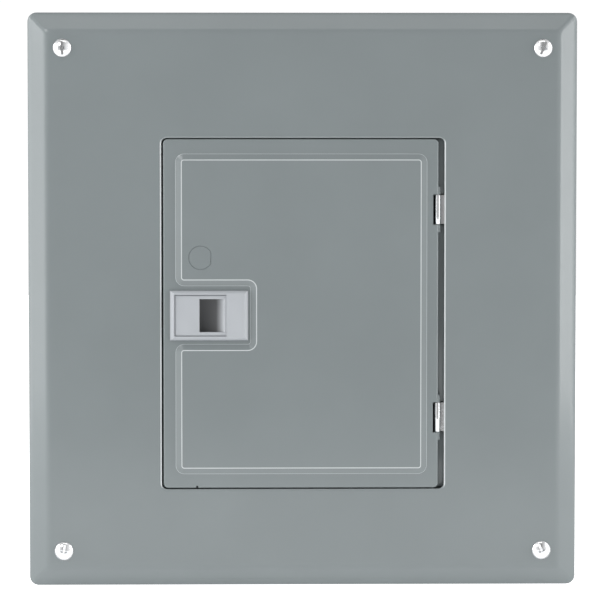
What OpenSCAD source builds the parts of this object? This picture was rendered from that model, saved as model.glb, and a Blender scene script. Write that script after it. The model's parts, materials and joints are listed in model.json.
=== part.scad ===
// Residential load center: a wall box with a screwed-on cover, a hinged door
// with a slide latch, a dead front, a two-pole main breaker, twelve branch
// spaces, two bus bars, two neutral bars and a ground bar.
// X is to the right, Z is up and the wall is behind, at Y = 0. The origin is
// the centre of the back face. Ranges called "out" are measured forward from
// the wall, so out = 10 is the plane Y = -10.

/* [Box] */
// Width of the box
box_w = 362; // [359:0.5:362]
// Height of the box
box_h = 379; // [375:0.5:379]
// How far the box walls stand out from the wall
box_out = 93.8; // [92:0.1:93.8]
// Steel thickness of the box
box_t = 1.5; // [1.2:0.1:1.6]
// Wall screw spacing across
wall_dx = 279.4; // [260:0.2:290]
// Wall screw spacing up
wall_dz = 304.8; // [290:0.2:310]
// Wall screw hole radius
wall_hole_r = 3.6; // [2.5:0.1:4]
// Stud screw hole radius
stud_hole_r = 2.8; // [2:0.1:3.5]

/* [Cover] */
// Width of the cover over its rim
cover_w = 390.4; // [388:0.2:392]
// Height of the cover over its rim
cover_h = 408.2; // [404:0.1:409]
// Height of the cover's centre
cover_z = -1.7; // [-2:0.1:0]
// Steel thickness of the cover
cover_t = 1.3; // [1:0.1:1.4]
// Front face of the cover, out from the wall
front = 96.3; // [96.2:0.1:96.5]
// Width of the bevel along each edge
bevel_run = 13.5; // [12:0.1:14]
// How far the bevel falls back
bevel_drop = 11; // [10:0.1:12]
// Depth of the straight rim behind the bevel
rim_drop = 3; // [2:0.1:4]
// Corner radius of the rim
rim_r = 6.5; // [4:0.5:8]
// Cover screws, left and right of centre
screw_x = 170; // [169:0.5:171]
// Height of the upper cover screws
screw_hi = 177; // [176:0.5:178]
// Height of the lower cover screws
screw_lo = -180; // [-180:0.5:-178]

/* [Door] */
// Half width of the door opening
open_x = 100.3; // [100.2:0.1:101]
// Top of the door opening
open_hi = 114; // [114:0.1:115]
// Bottom of the door opening
open_lo = -135.8; // [-136:0.1:-134]
// Depth of the lip around the opening
open_lip = 6.3; // [5:0.1:6.3]
// Steel thickness of the door
door_t = 1.2; // [1:0.1:1.2]
// Depth of the door's edge
door_edge = 5.8; // [4:0.1:5.8]
// How far the centre panel stands proud of the door's border
panel_rise = 2; // [1:0.1:2.2]
// Height of the upper hinge
hinge_hi = 62.9; // [55:0.1:70]
// Height of the lower hinge
hinge_lo = -84.9; // [-95:0.1:-75]
// Length of a hinge barrel
barrel_len = 20.6; // [18:0.1:22]
// Hinge pin radius
pin_r = 1.25; // [1:0.05:1.25]

/* [Latch] */
// Height of the latch's centre
latch_z = -12.1; // [-14:0.1:-10]
// Bezel width
bezel_w = 55.6; // [54:0.2:56]
// Bezel height
bezel_h = 35.4; // [35:0.2:36]
// Distance the slider moves to let go
latch_travel = 8; // [6:0.5:8]

/* [Breakers] */
// Width of one breaker space
pitch = 25.4; // [25:0.1:26]
// Height of the first row of branch breakers
row_hi = 37.3; // [37:0.1:38]
// Gap between neighbouring breakers
breaker_gap = 0.6; // [0.4:0.1:1]
// How far each handle leans from upright, on or off
handle_lean = 18; // [14:1:18]

/* [Bars] */
// Terminal screws along each neutral bar
neutral_terminals = 13; // [6:1:14]
// Terminal screws along the ground bar
ground_terminals = 10; // [4:1:11]
// Wire hole radius in the lugs
lug_bore_r = 5.35; // [4:0.05:5.5]

/* [Hidden] */
$fn = 48;
tiny = 0.01;
// Shank and hole radii of the small screws that hold bars and wires
shank_r = 2;
shank_hole_r = 2.05;

// Colours
enamel = "#8b9395";
zinc = "#c9cdd0";
steel = "#b4b8ba";
tin = "#c8cac6";
black = "#26282a";
card = "#e9e7df";
grey_plastic = "#bcc1c5";
green = "#2f7d4f";

// Breakers: [side, first row, poles], with side -1 on the left and 1 on the right
BREAKERS = [
    [-1, 0, 2], [-1, 2, 1], [-1, 3, 1], [-1, 4, 1], [-1, 5, 1],
    [1, 0, 2], [1, 2, 1], [1, 3, 1], [1, 4, 1],
];
rows = 6;
spare_row = 5;
function row_z(row) = row_hi - pitch * row;
POLES = [for (b = BREAKERS) for (p = [0 : b[2] - 1]) [b[0], row_z(b[1] + p)]];

// ---- Shape helpers ----

// Box between two X values, two Z values and two distances out from the wall
module slab(x, z, out) {
    translate([x[0], -out[1], z[0]]) cube([x[1] - x[0], out[1] - out[0], z[1] - z[0]]);
}

// Round bar that points out from the wall at p = [x, z]
module rod_out(r, out, p) {
    translate([p[0], -out[0], p[1]]) rotate([90, 0, 0]) cylinder(r = r, h = out[1] - out[0]);
}

// Round bar along X at p = [out, z]
module rod_x(r, x, p) {
    translate([x[0], -p[0], p[1]]) rotate([0, 90, 0]) cylinder(r = r, h = x[1] - x[0]);
}

// Round bar along Z at p = [x, out]
module rod_z(r, z, p) {
    translate([p[0], -p[1], z[0]]) cylinder(r = r, h = z[1] - z[0]);
}

// Plate cut from an outline drawn in X and Z
module plate(out) {
    translate([0, -out[0], 0]) rotate([90, 0, 0]) linear_extrude(out[1] - out[0]) children();
}

// Bar cut from an outline drawn in X and out, standing along Z
module bar_z(z) {
    translate([0, 0, z[0]]) mirror([0, 1, 0]) linear_extrude(z[1] - z[0]) children();
}

// Bar cut from an outline drawn in Z and out, lying along X
module bar_x(x) {
    translate([x[0], 0, 0]) rotate([0, -90, 180]) linear_extrude(x[1] - x[0]) children();
}

// Rectangle with round corners between two X values and two Z values
module round_rect(x, z, r) {
    translate([x[0] + r, z[0]]) square([x[1] - x[0] - 2 * r, z[1] - z[0]]);
    translate([x[0], z[0] + r]) square([x[1] - x[0], z[1] - z[0] - 2 * r]);
    for (cx = [x[0] + r, x[1] - r], cz = [z[0] + r, z[1] - r]) translate([cx, cz]) circle(r);
}

// Children on the right, and their mirror image on the left
module both_sides() {
    children();
    mirror([1, 0, 0]) children();
}

// Children on one side: 1 is right, -1 is left
module on_side(side) {
    mirror([side < 0 ? 1 : 0, 0, 0]) children();
}

// Scored rings of a knockout, cut into a face that looks along +Z
module knockout(radii) {
    score_w = 0.9;
    score_deep = 0.5;
    for (r = radii) translate([0, 0, -score_deep]) difference() {
        cylinder(r = r, h = 1);
        translate([0, 0, -tiny]) cylinder(r = r - score_w, h = 2);
    }
}

// Screw head with one slot, its top face at the far end of out
module slotted_head(r, out, p, slot_w, slot_deep, turn = 0) {
    reach = r + 1;
    difference() {
        rod_out(r, out, p);
        translate([p[0], -out[1], p[1]]) rotate([0, turn, 0])
            translate([-slot_w / 2, -1, -reach]) cube([slot_w, slot_deep + 1, 2 * reach]);
    }
}

// ---- Box ----

half_w = box_w / 2;
half_h = box_h / 2;
in_x = half_w - box_t;
in_z = half_h - box_t;
tab_out = front - cover_t;
small_ko = [14.3, 11];
large_ko = [30, 22, 17.5];
ko_out = 46;

module box_wrapper() {
    lip = 6;
    lip_z = 160;
    color(zinc) difference() {
        union() {
            slab([-half_w, half_w], [-half_h, half_h], [0, box_t]);
            both_sides() slab([in_x, half_w], [-half_h, half_h], [0, box_out]);
            both_sides() slab([in_x - lip, half_w], [-lip_z, lip_z], [box_out - box_t, box_out]);
        }
        for (x = [-wall_dx / 2, wall_dx / 2], z = [-wall_dz / 2, wall_dz / 2])
            rod_out(wall_hole_r, [-1, box_t + 1], [x, z]);
        for (out = [19, 69.8], z = [-127, 127])
            rod_x(stud_hole_r, [-half_w - 1, half_w + 1], [out, z]);
        for (x = [-60, 60], z = [-168, 168])
            translate([x, 0, z]) rotate([-90, 0, 0]) knockout(small_ko);
        for (z = [-60, 0, 60]) both_sides()
            translate([half_w, -ko_out, z]) rotate([0, 90, 0]) knockout(small_ko);
    }
}

// End wall on top, with edge flanges that lie against the sides and the back
module end_wall(tab_z) {
    flange = 16;
    tab_w = 19;
    tab_hole_r = 2.05;
    difference() {
        union() {
            slab([-in_x, in_x], [in_z, half_h], [box_t, box_out]);
            both_sides() slab([in_x - box_t, in_x], [in_z - flange, in_z], [box_t, box_out - 2]);
            slab([-in_x + box_t, in_x - box_t], [in_z - flange, in_z], [box_t, 2 * box_t]);
            both_sides() slab([screw_x - tab_w / 2, in_x - 0.2], [tab_z - tab_w / 2, half_h - 0.7],
                [tab_out - box_t, tab_out]);
        }
        both_sides() rod_out(tab_hole_r, [tab_out - 2 * box_t, tab_out + 1], [screw_x, tab_z]);
        both_sides() for (x = [76, 128]) translate([x, -ko_out, half_h]) knockout(small_ko);
        translate([0, -ko_out, half_h]) knockout(large_ko);
    }
}

module end_wall_top() {
    color(zinc) end_wall(screw_hi);
}

module end_wall_bottom() {
    color(zinc) mirror([0, 0, 1]) end_wall(-screw_lo);
}

// ---- Cover ----

// Bevelled pan that is half_x wide and half_z high at its rim, seen from outside,
// brought in everywhere by the thickness inset
module pan_shape(half_x, half_z, inset) {
    slope = sqrt(bevel_run * bevel_run + bevel_drop * bevel_drop);
    top = front - inset;
    // The bevel's own line moves in by inset, so its ends follow from its slope
    function bevel_x(half, out) =
        half - (out - front + bevel_drop) * bevel_run / bevel_drop - inset * slope / bevel_drop;
    function bevel_out(half, x) =
        front - bevel_drop + (half - x - inset * slope / bevel_drop) * bevel_drop / bevel_run;
    low = front - bevel_drop - rim_drop - (inset > 0 ? 1 : 0);
    function section(half) = [
        [-half + inset, low], [half - inset, low], [half - inset, bevel_out(half, half - inset)],
        [bevel_x(half, top), top], [-bevel_x(half, top), top],
        [-half + inset, bevel_out(half, half - inset)],
    ];
    intersection() {
        bar_z([-half_z - 1, half_z + 1]) polygon(section(half_x));
        bar_x([-half_x - 1, half_x + 1]) polygon(section(half_z));
        plate([low - 1, front + 1]) round_rect([-half_x + inset, half_x - inset],
            [-half_z + inset, half_z - inset], rim_r - inset);
    }
}

lip_out = front - open_lip;
opening_r = 2.5;
hinge_slot_z = 11;

module opening_outline(grow) {
    round_rect([-open_x - grow, open_x + grow], [open_lo - grow, open_hi + grow], opening_r + grow);
}

module cover() {
    ledge = 4.7;
    screw_clear_r = 2.7;
    color(enamel) difference() {
        union() {
            translate([0, 0, cover_z]) difference() {
                pan_shape(cover_w / 2, cover_h / 2, 0);
                pan_shape(cover_w / 2, cover_h / 2, cover_t);
            }
            plate([lip_out, front - tiny]) opening_outline(cover_t);
            // Ledge behind the hinge side of the opening
            slab([open_x - ledge, open_x + cover_t], [open_lo + opening_r, open_hi - opening_r],
                [lip_out - cover_t, lip_out]);
        }
        difference() {
            plate([lip_out - 2 * cover_t, front + 1]) opening_outline(0);
            slab([open_x - ledge, open_x + 1], [open_lo + opening_r, open_hi - opening_r],
                [lip_out - cover_t, lip_out]);
        }
        for (z = [hinge_lo, hinge_hi]) slab([open_x - ledge - 1, open_x + cover_t + 1],
            [z - hinge_slot_z, z + hinge_slot_z], [lip_out - 2 * cover_t, tab_out - 3]);
        for (x = [-screw_x, screw_x], z = [screw_lo, screw_hi])
            rod_out(screw_clear_r, [tab_out - 1, front + 1], [x, z]);
    }
}

// Round-headed screws with a cross and a slot in each head
module cover_screws() {
    head_r = 6.5;
    head_h = 3.2;
    dome_r = 8.3;
    slot_w = 1.4;
    slot_deep = 1.4;
    cross = 2.6;
    turns = [4, -24, -9, 23];
    spots = [[-screw_x, screw_hi], [screw_x, screw_hi], [-screw_x, screw_lo], [screw_x, screw_lo]];
    color(zinc) for (i = [0 : 3]) {
        rod_out(2, [tab_out - 12, front], spots[i]);
        translate([spots[i][0], -front, spots[i][1]]) rotate([90, 0, 0]) rotate([0, 0, turns[i]])
            difference() {
                rotate_extrude() intersection() {
                    translate([0, head_h - dome_r]) circle(dome_r);
                    square([head_r, head_h + 1]);
                }
                for (half = [[slot_w / 2, head_r + 1], [cross, slot_w / 2]])
                    translate([-half[0], -half[1], head_h - slot_deep])
                        cube([2 * half[0], 2 * half[1], slot_deep + 1]);
            }
    }
}

// ---- Dead front ----

df_x = 107;
df_lo = open_lo - 3.2;
df_hi = open_hi + 5;
df_out = 75.2;
df_t = 1;
window_in = 4.6;
window_out = 52;
branch_top = row_z(0) + pitch / 2;
branch_low = row_z(rows - 1) - pitch / 2;
main_window = [[-38.6, 38.6], [59.4, 104.6]];
stud_spots = [for (z = [df_lo - 5, df_hi + 5], x = [-90, 0, 90]) [x, z]];

module dead_front() {
    flange = 9;
    color(enamel) difference() {
        union() {
            plate([df_out - df_t, tab_out]) round_rect([-df_x - df_t, df_x + df_t],
                [df_lo - df_t, df_hi + df_t], 3);
            plate([tab_out - df_t, tab_out]) round_rect([-df_x - flange, df_x + flange],
                [df_lo - flange, df_hi + flange], 3);
        }
        plate([df_out, tab_out + 1]) round_rect([-df_x, df_x], [df_lo, df_hi], 2);
        both_sides() slab([window_in, window_out], [branch_low, branch_top], [df_out - 5, df_out + 1]);
        slab(main_window[0], main_window[1], [df_out - 5, df_out + 1]);
        for (p = stud_spots) rod_out(1.6, [tab_out - 3, tab_out + 1], p);
    }
}

// Studs welded to the back of the cover, each with a push nut
module dead_front_studs() {
    color(steel) for (p = stud_spots) {
        rod_out(1.6, [tab_out - 4, tab_out], p);
        rod_out(3.4, [tab_out - df_t - 0.8, tab_out - df_t], p);
    }
}

// Snap-in plate over the spare space at the bottom right
module filler_plate() {
    gap = 0.3;
    z = row_z(spare_row);
    color(black) difference() {
        union() {
            slab([window_in + gap, window_out - gap], [z - pitch / 2 + gap, z + pitch / 2 - gap],
                [df_out - 4, df_out + 1]);
            slab([window_in - 2, window_out + 2], [z - pitch / 2 - 1.5, z + pitch / 2 - gap],
                [df_out, df_out + 1.6]);
        }
        slab([window_in + 2, window_out - 2], [z - pitch / 2 + 2, z + pitch / 2 - 2],
            [df_out - 5, df_out]);
    }
}

// ---- Interior ----

pan_x = 72;
pan_lo = -112;
pan_hi = 136;
pan_out = 14;
rail_out = 31;
pan_foot = 13;
bar_bottom = 24;
bar_top = 27;
stab_top = 42;
main_stab_z = 66;
jaw_top = stab_top + 1.4;
case_base = 28;
pan_screw_spots = [for (x = [-50, 50], z = [pan_lo - 8, pan_hi + 8]) [x, z]];

module interior_pan() {
    t = box_t;
    color(zinc) difference() {
        union() {
            slab([-pan_x, pan_x], [pan_lo, pan_hi], [pan_out - t, pan_out]);
            both_sides() slab([pan_x - t, pan_x], [pan_lo + 5, 55], [pan_out - t, rail_out]);
            for (z = [pan_lo, pan_hi - t]) slab([-pan_x, pan_x], [z, z + t], [t, pan_out]);
            slab([-pan_x, pan_x], [pan_lo - pan_foot, pan_lo + t], [t, 2 * t]);
            slab([-pan_x, pan_x], [pan_hi - t, pan_hi + pan_foot], [t, 2 * t]);
        }
        for (p = pan_screw_spots) rod_out(2.6, [t - 1, 3 * t], p);
    }
}

module pan_screws() {
    color(zinc) for (p = pan_screw_spots) {
        rod_out(2.5, [box_t, 2 * box_t], p);
        slotted_head(4.6, [2 * box_t, 2 * box_t + 3], p, 1.2, 1.4, 25);
    }
}

module bus_insulator() {
    color(black) {
        slab([-34, 34], [pan_lo, pan_hi - 4], [pan_out, bar_bottom]);
        slab([-1.5, 1.5], [pan_lo, pan_hi - 4], [bar_bottom, bar_bottom + 2]);
        both_sides() slab([24, 26], [pan_lo, pan_hi - 4], [bar_bottom, bar_bottom + 2.5]);
    }
}

bus_screw_spots = [[15, -107.4], [15, 53]];

// Right-hand bus bar, with its stabs on the rows that step counts off
module bus_bar(first_row) {
    stab_t = 2;
    difference() {
        union() {
            slab([8, 22], [pan_lo + 1, 104], [bar_bottom, bar_top]);
            slab([9, 21], [main_stab_z - stab_t / 2, main_stab_z + stab_t / 2], [bar_top, stab_top]);
            for (row = [first_row : 2 : rows - 1]) {
                z = row_z(row);
                slab([9, 15], [z - stab_t / 2, z + stab_t / 2], [bar_top, stab_top]);
                slab([-15, 15], [z - stab_t / 2, z + stab_t / 2], [stab_top - 11, stab_top]);
            }
        }
        for (p = bus_screw_spots) rod_out(shank_hole_r, [bar_bottom - 1, bar_top + 1], p);
    }
}

module bus_bar_a() {
    color(tin) mirror([1, 0, 0]) bus_bar(0);
}

module bus_bar_b() {
    color(tin) bus_bar(1);
}

module bus_screws() {
    color(steel) both_sides() for (p = bus_screw_spots) {
        rod_out(shank_r, [bar_bottom, bar_top], p);
        slotted_head(2.8, [bar_top, bar_top + 2.4], p, 0.8, 1);
    }
}

// ---- Neutral and ground ----

nb_x = 106;
nb_w = 12;
nb_lo = -130;
nb_hi = 90;
nb_bottom = 30;
nb_top = 42;
strap_out = 27;
strap_z = [-130, -118];
bond_x = 80;
bond_r = 2.5;
terminal_step = 14.5;
terminal_lo = -98;
function terminal_z(i) = terminal_lo + terminal_step * i;

module neutral_bar() {
    wire_r = 2.7;
    mid_out = (nb_bottom + nb_top) / 2;
    difference() {
        slab([nb_x - nb_w / 2, nb_x + nb_w / 2], [nb_lo, nb_hi], [nb_bottom, nb_top]);
        for (i = [0 : neutral_terminals - 1]) {
            rod_x(wire_r, [nb_x - nb_w, nb_x + nb_w], [mid_out, terminal_z(i)]);
            rod_out(shank_hole_r, [mid_out, nb_top + 1], [nb_x, terminal_z(i)]);
        }
        rod_out(shank_hole_r, [nb_bottom - 1, nb_top + 1], [nb_x, (strap_z[0] + strap_z[1]) / 2]);
    }
}

module neutral_bar_left() {
    color(tin) mirror([1, 0, 0]) neutral_bar();
}

module neutral_bar_right() {
    color(tin) neutral_bar();
}

module neutral_strap() {
    mid = (strap_z[0] + strap_z[1]) / 2;
    color(tin) difference() {
        slab([-nb_x - nb_w / 2, nb_x + nb_w / 2], strap_z, [strap_out, nb_bottom]);
        both_sides() rod_out(shank_hole_r, [strap_out - 1, nb_bottom + 1], [nb_x, mid]);
        rod_out(bond_r + 0.05, [strap_out - 1, nb_bottom + 1], [bond_x, mid]);
    }
}

support_z = [-112, 84];

module neutral_supports() {
    color(black) both_sides() for (z = support_z) {
        slab([nb_x - 8, nb_x + 8], [z - 5, z + 5], [box_t, nb_bottom]);
        slab([nb_x - 11, nb_x + 11], [z - 5, z + 5], [box_t, box_t + 3]);
    }
}

module neutral_screws() {
    color(steel) both_sides() {
        for (i = [0 : neutral_terminals - 1]) {
            rod_out(shank_r, [37, nb_top], [nb_x, terminal_z(i)]);
            slotted_head(3.7, [nb_top, nb_top + 3], [nb_x, terminal_z(i)], 1.1, 1.5, 40 * i);
        }
        mid = (strap_z[0] + strap_z[1]) / 2;
        rod_out(shank_r, [strap_out, nb_top], [nb_x, mid]);
        slotted_head(3.7, [nb_top, nb_top + 3], [nb_x, mid], 1.1, 1.5, 20);
    }
}

lug_half_w = 11;
lug_len = 20;
set_screw_r = 4.95;

// Block with a wire hole up its middle and a screw hole in its front face
module lug(x, z, out) {
    bore_out = out[0] + 10;
    difference() {
        slab([x - lug_half_w, x + lug_half_w], [z, z + lug_len], out);
        rod_z(lug_bore_r, [z - 1, z + lug_len + 1], [x, bore_out]);
        rod_out(set_screw_r + 0.05, [bore_out, out[1] + 1], [x, z + lug_len / 2]);
    }
}

module neutral_lug() {
    color(tin) lug(-nb_x, nb_hi, [26, 48]);
}

module bonding_screw() {
    mid = (strap_z[0] + strap_z[1]) / 2;
    color(green) {
        rod_out(bond_r, [box_t, nb_bottom], [bond_x, mid]);
        slotted_head(5, [nb_bottom, nb_bottom + 3.5], [bond_x, mid], 1.3, 1.8, 30);
    }
}

gb_z = -163;
gb_x = 70;
gb_out = [8, 18];
gb_step = 13;
function ground_x(i) = (i - (ground_terminals - 1) / 2) * gb_step;

module ground_bar() {
    color(tin) difference() {
        union() {
            slab([-gb_x, gb_x], [gb_z - 5, gb_z + 5], gb_out);
            both_sides() slab([gb_x - 6, gb_x], [gb_z - 5, gb_z + 5], [box_t, gb_out[0]]);
        }
        for (i = [0 : ground_terminals - 1]) {
            translate([ground_x(i), -13, gb_z - 6]) cylinder(r = 2.3, h = 12);
            rod_out(shank_hole_r, [13, gb_out[1] + 1], [ground_x(i), gb_z]);
        }
    }
}

module ground_screws() {
    color(steel) for (i = [0 : ground_terminals - 1]) {
        rod_out(shank_r, [14, gb_out[1]], [ground_x(i), gb_z]);
        slotted_head(3.6, [gb_out[1], gb_out[1] + 3], [ground_x(i), gb_z], 1.1, 1.5, 33 * i);
    }
}

// ---- Breakers ----

face_out = 78;
shoulder_out = 72;
axis_out = 66.2;
drum_r = 11.5;
handle_x = 26;
inner_end = 2.2;
outer_end = 78;
branch_handle_w = 9;
load_x = 70;
pivot_r = 2;
pivot_hole_r = 2.05;

// Side profile of a branch breaker, from the middle of the panel to its outer end
module branch_profile() {
    polygon([
        [inner_end, case_base], [outer_end, case_base], [outer_end, 57], [outer_end - 1.5, 58.5],
        [60, 58.5], [59, 70.5], [57.5, shoulder_out], [52.2, shoulder_out], [50.2, face_out],
        [7, face_out], [5.8, shoulder_out], [3.7, shoulder_out], [inner_end, 70.5],
    ]);
}

// Pocket for one handle drum of the given width, centred on z
module drum_pocket(z, width, axis_x) {
    rod_z(drum_r + 0.5, [z - width / 2, z + width / 2], [axis_x, axis_out]);
    slab([axis_x - 9.8, axis_x + 9.8], [z - width / 2, z + width / 2], [68, face_out + 1]);
    rod_z(pivot_hole_r, [z - width / 2 - 1.6, z + width / 2 + 1.6], [axis_x, axis_out]);
}

// Drum, lever and pivot stubs of one handle, upright
module handle_shape(z, width, axis_x) {
    lever = 21;
    tip_r = 3.2;
    rod_z(drum_r, [z - width / 2, z + width / 2], [axis_x, axis_out]);
    rod_z(pivot_r, [z - width / 2 - 1.4, z + width / 2 + 1.4], [axis_x, axis_out]);
    bar_z([z - width / 2, z + width / 2]) {
        polygon([[axis_x - 4.6, axis_out], [axis_x + 4.6, axis_out],
            [axis_x + tip_r, axis_out + lever - tip_r], [axis_x - tip_r, axis_out + lever - tip_r]]);
        translate([axis_x, axis_out + lever - tip_r]) circle(tip_r);
    }
}

module branch_case(index) {
    b = BREAKERS[index];
    top = row_z(b[1]) + pitch / 2 - breaker_gap / 2;
    low = row_z(b[1] + b[2] - 1) - pitch / 2 + breaker_gap / 2;
    color(black) on_side(b[0]) difference() {
        bar_z([low, top]) branch_profile();
        // Groove that hooks over the pan's rail
        slab([pan_x - 2.6, pan_x + 1.2], [low - 1, top + 1], [case_base - 1, rail_out + 1]);
        for (p = [0 : b[2] - 1]) {
            z = row_z(b[1] + p);
            drum_pocket(z, branch_handle_w + 0.8, handle_x);
            // Room for the jaw that grips the stab
            slab([inner_end - 1, 17.5], [z - 4.2, z + 4.2], [case_base - 1, jaw_top]);
            // Wire terminal
            slab([63, outer_end + 1], [z - 6, z + 6], [42, 53]);
            rod_out(3.9, [52, 60], [load_x, z]);
        }
        if (b[2] > 1) slab([handle_x - 12.2, handle_x + 12.2],
            [row_z(b[1] + 1) + 4, row_z(b[1]) - 4], [axis_out + 10, face_out + 1]);
    }
}

// Handles rest leaning towards the middle of the panel, which is on
module branch_handle(index) {
    b = BREAKERS[index];
    color(black) on_side(b[0]) translate([handle_x, -axis_out, 0]) rotate([0, 0, -handle_lean])
        translate([-handle_x, axis_out, 0]) {
            for (p = [0 : b[2] - 1])
                handle_shape(row_z(b[1] + p), branch_handle_w, handle_x);
            if (b[2] > 1) slab([handle_x - 3, handle_x + 3],
                [row_z(b[1] + 1) - 4, row_z(b[1]) + 4], [axis_out + 14.4, axis_out + 19]);
        }
}

module breaker_case_1() branch_case(0);
module breaker_case_2() branch_case(1);
module breaker_case_3() branch_case(2);
module breaker_case_4() branch_case(3);
module breaker_case_5() branch_case(4);
module breaker_case_6() branch_case(5);
module breaker_case_7() branch_case(6);
module breaker_case_8() branch_case(7);
module breaker_case_9() branch_case(8);
module breaker_handle_1() branch_handle(0);
module breaker_handle_2() branch_handle(1);
module breaker_handle_3() branch_handle(2);
module breaker_handle_4() branch_handle(3);
module breaker_handle_5() branch_handle(4);
module breaker_handle_6() branch_handle(5);
module breaker_handle_7() branch_handle(6);
module breaker_handle_8() branch_handle(7);
module breaker_handle_9() branch_handle(8);

// U-shaped copper clips, one on each stab and two on the main stabs
module jaw(x, z, len) {
    leaf = 1;
    stab_half = 1.05;
    both = stab_half + leaf;
    difference() {
        slab([x, x + len], [z - both, z + both], [case_base + 3.4, jaw_top]);
        slab([x - 1, x + len + 1], [z - stab_half, z + stab_half], [case_base, stab_top + 0.3]);
    }
}

module line_jaws() {
    color("#b87345") {
        for (p = POLES) on_side(p[0]) jaw(inner_end + 1, p[1], 11);
        both_sides() jaw(9.6, main_stab_z, 11);
    }
}

module load_clamps() {
    color(zinc) for (p = POLES) on_side(p[0]) {
        slab([63.3, outer_end - 0.5], [p[1] - 5.5, p[1] + 5.5], [42, 44]);
        difference() {
            slab([64.5, 75.5], [p[1] - 5.5, p[1] + 5.5], [49.4, 51]);
            rod_out(shank_hole_r, [49, 52], [load_x, p[1]]);
        }
    }
}

module load_screws() {
    color(steel) for (i = [0 : len(POLES) - 1]) on_side(POLES[i][0]) {
        rod_out(shank_r, [44, 55], [load_x, POLES[i][1]]);
        slotted_head(3.5, [55, 57.8], [load_x, POLES[i][1]], 1.1, 1.4, 37 * i);
    }
}

main_z = 82;
main_low = 56.2;
main_top = 128;
main_x = 38;
main_handle_w = 24;
lug_x = 19;

// Main breaker: its raised face is profiled up its height, so its ends are chamfered
module main_case() {
    color(black) difference() {
        union() {
            bar_x([-main_x, main_x]) polygon([
                [main_low, case_base], [main_top, case_base], [main_top, 62], [main_top - 2, 64],
                [112, 64], [111, 70.5], [109.5, shoulder_out], [main_low + 1.5, shoulder_out],
                [main_low, 70.5],
            ]);
            bar_x([-main_x, main_x]) polygon([
                [60, shoulder_out], [104, shoulder_out], [102.5, face_out], [61.5, face_out],
            ]);
        }
        rod_x(drum_r + 0.5, [-main_handle_w / 2 - 0.4, main_handle_w / 2 + 0.4], [axis_out, main_z]);
        rod_x(pivot_hole_r, [-main_handle_w / 2 - 2, main_handle_w / 2 + 2], [axis_out, main_z]);
        slab([-main_handle_w / 2 - 0.4, main_handle_w / 2 + 0.4], [main_z - 9.8, main_z + 9.8],
            [68, face_out + 1]);
        both_sides() slab([8.6, 21.8], [main_stab_z - 4.2, main_stab_z + 4.2],
            [case_base - 1, jaw_top]);
    }
}

// Rests leaning up, which is on
module main_handle() {
    color(black) translate([0, -axis_out, main_z]) rotate([-handle_lean, 0, 0])
        translate([0, axis_out, -main_z]) {
            w = main_handle_w / 2;
            tip_r = 3.4;
            tip_out = axis_out + 21 - tip_r;
            rod_x(drum_r, [-w, w], [axis_out, main_z]);
            rod_x(pivot_r, [-w - 1.8, w + 1.8], [axis_out, main_z]);
            bar_x([-w, w]) {
                polygon([[main_z - 4.8, axis_out], [main_z + 4.8, axis_out],
                    [main_z + tip_r, tip_out], [main_z - tip_r, tip_out]]);
                translate([main_z, tip_out]) circle(tip_r);
            }
        }
}

module main_lugs() {
    color(tin) for (x = [-lug_x, lug_x]) lug(x, main_top, [34, 58]);
}

// Hollow-ended set screws of the three lugs
module lug_screws() {
    mid = lug_len / 2;
    spots = [[-lug_x, main_top + mid, 58], [lug_x, main_top + mid, 58], [-nb_x, nb_hi + mid, 48]];
    socket_r = 2.9;
    color(steel) for (p = spots) difference() {
        rod_out(set_screw_r, [p[2] - 6, p[2] + 3], [p[0], p[1]]);
        translate([p[0], -p[2] + 1, p[1]]) rotate([90, 0, 0]) cylinder(r = socket_r, h = 6, $fn = 6);
    }
}

// ---- Door ----

door_l = -99.1;
door_r = 96;
door_hi = 112.8;
door_lo = -135;
door_r_corner = 3.2;
door_back = front - door_t;
axis_x = 95.7;
hinge_out = front - 3.3;
barrel_r = 2.3;
notch_x = 92.3;
notch_half = barrel_len / 2 + 0.6;
ear_gap = 0.3;
ear_len = 5.5;
lock_x = -72.6;
lock_z = 28.9;
lock_r = 8.6;
lock_flat = 7.6;
lock_line = 0.6;
lock_deep = 0.4;
panel_x = [-88.3, 85.9];
panel_z = [-122.9, 100.3];
step_x = -35.2;
step_z = [-34.6, 10.9];
panel_corner = 4;
bowl_x = -64.4;
bowl_half_w = 9;
bowl_half_h = 11.75;
bowl_wall = 1.2;
bowl_left = bowl_x - bowl_half_w - bowl_wall;
bowl_right = bowl_x + bowl_half_w + bowl_wall;
window_x = [bowl_left - 0.7, bowl_right + latch_travel + 0.6];
window_z = [latch_z - 13.4, latch_z + 13.4];

// Outline of the raised panel: a rectangle that steps in around the latch
module panel_outline(inset) {
    left = panel_x[0] + inset;
    difference() {
        round_rect([left, panel_x[1] - inset], [panel_z[0] + inset, panel_z[1] - inset], panel_corner);
        round_rect([left - 20, step_x + inset], [step_z[0] - inset, step_z[1] + inset], panel_corner);
    }
}

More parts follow.
